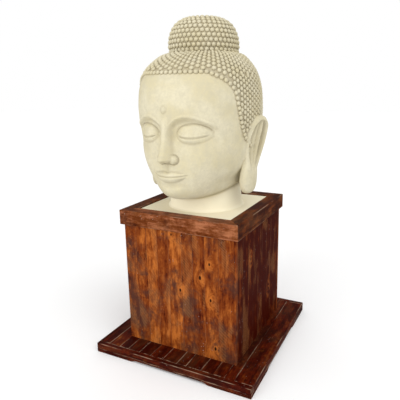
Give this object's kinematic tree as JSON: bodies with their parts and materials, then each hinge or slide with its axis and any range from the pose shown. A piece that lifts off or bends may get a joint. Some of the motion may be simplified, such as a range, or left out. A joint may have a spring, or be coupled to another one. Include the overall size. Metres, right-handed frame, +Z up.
{
  "type": "stone buddha head on plinth",
  "caption": "Larger than life carved stone Buddha head with long ears and curled hair, let into a hollow board-built wooden plinth on a wide low base.",
  "frame": {"origin": "centre of the plinth's footprint on the floor", "axes": "+Z up, the face looks along -Y, +X is on the right of a viewer in front"},
  "size_m": [1.021, 1.021, 1.9839],
  "materials": {
    "stone": "matte cream cast stone with beige patina",
    "box_wood": "orange-brown stained boards, satin varnish",
    "rail_wood": "dark red-brown stain, semi-gloss varnish",
    "deck_wood": "very dark red-brown stain, semi-gloss varnish"
  },
  "bodies": {
    "root": {"box_board_front_1": "box_wood", "box_board_front_2": "box_wood", "box_board_front_3": "box_wood", "box_board_front_4": "box_wood", "box_board_front_5": "box_wood", "box_board_front_6": "box_wood", "box_board_front_7": "box_wood", "box_board_front_8": "box_wood", "box_board_front_9": "box_wood", "top_rail_front": "rail_wood", "base_skirt_front": "deck_wood", "box_board_right_1": "box_wood", "box_board_right_2": "box_wood", "box_board_right_3": "box_wood", "box_board_right_4": "box_wood", "box_board_right_5": "box_wood", "box_board_right_6": "box_wood", "box_board_right_7": "box_wood", "box_board_right_8": "box_wood", "box_board_right_9": "box_wood", "top_rail_right": "rail_wood", "base_skirt_right": "deck_wood", "box_board_back_1": "box_wood", "box_board_back_2": "box_wood", "box_board_back_3": "box_wood", "box_board_back_4": "box_wood", "box_board_back_5": "box_wood", "box_board_back_6": "box_wood", "box_board_back_7": "box_wood", "box_board_back_8": "box_wood", "top_rail_back": "rail_wood", "base_skirt_back": "deck_wood", "box_board_left_1": "box_wood", "box_board_left_2": "box_wood", "box_board_left_3": "box_wood", "box_board_left_4": "box_wood", "box_board_left_5": "box_wood", "box_board_left_6": "box_wood", "box_board_left_7": "box_wood", "box_board_left_8": "box_wood", "top_rail_left": "rail_wood", "base_skirt_left": "deck_wood", "deck_board_1": "deck_wood", "deck_board_2": "deck_wood", "deck_board_3": "deck_wood", "deck_board_4": "deck_wood", "deck_board_5": "deck_wood", "deck_board_6": "deck_wood", "deck_board_7": "deck_wood", "deck_board_8": "deck_wood", "deck_board_9": "deck_wood", "deck_board_10": "deck_wood", "deck_board_11": "deck_wood", "deck_board_12": "deck_wood", "deck_board_13": "deck_wood", "deck_strip_front": "deck_wood", "deck_strip_back": "deck_wood", "slab_panel": "box_wood", "buddha_head": "stone"}
  },
  "joints": []
}
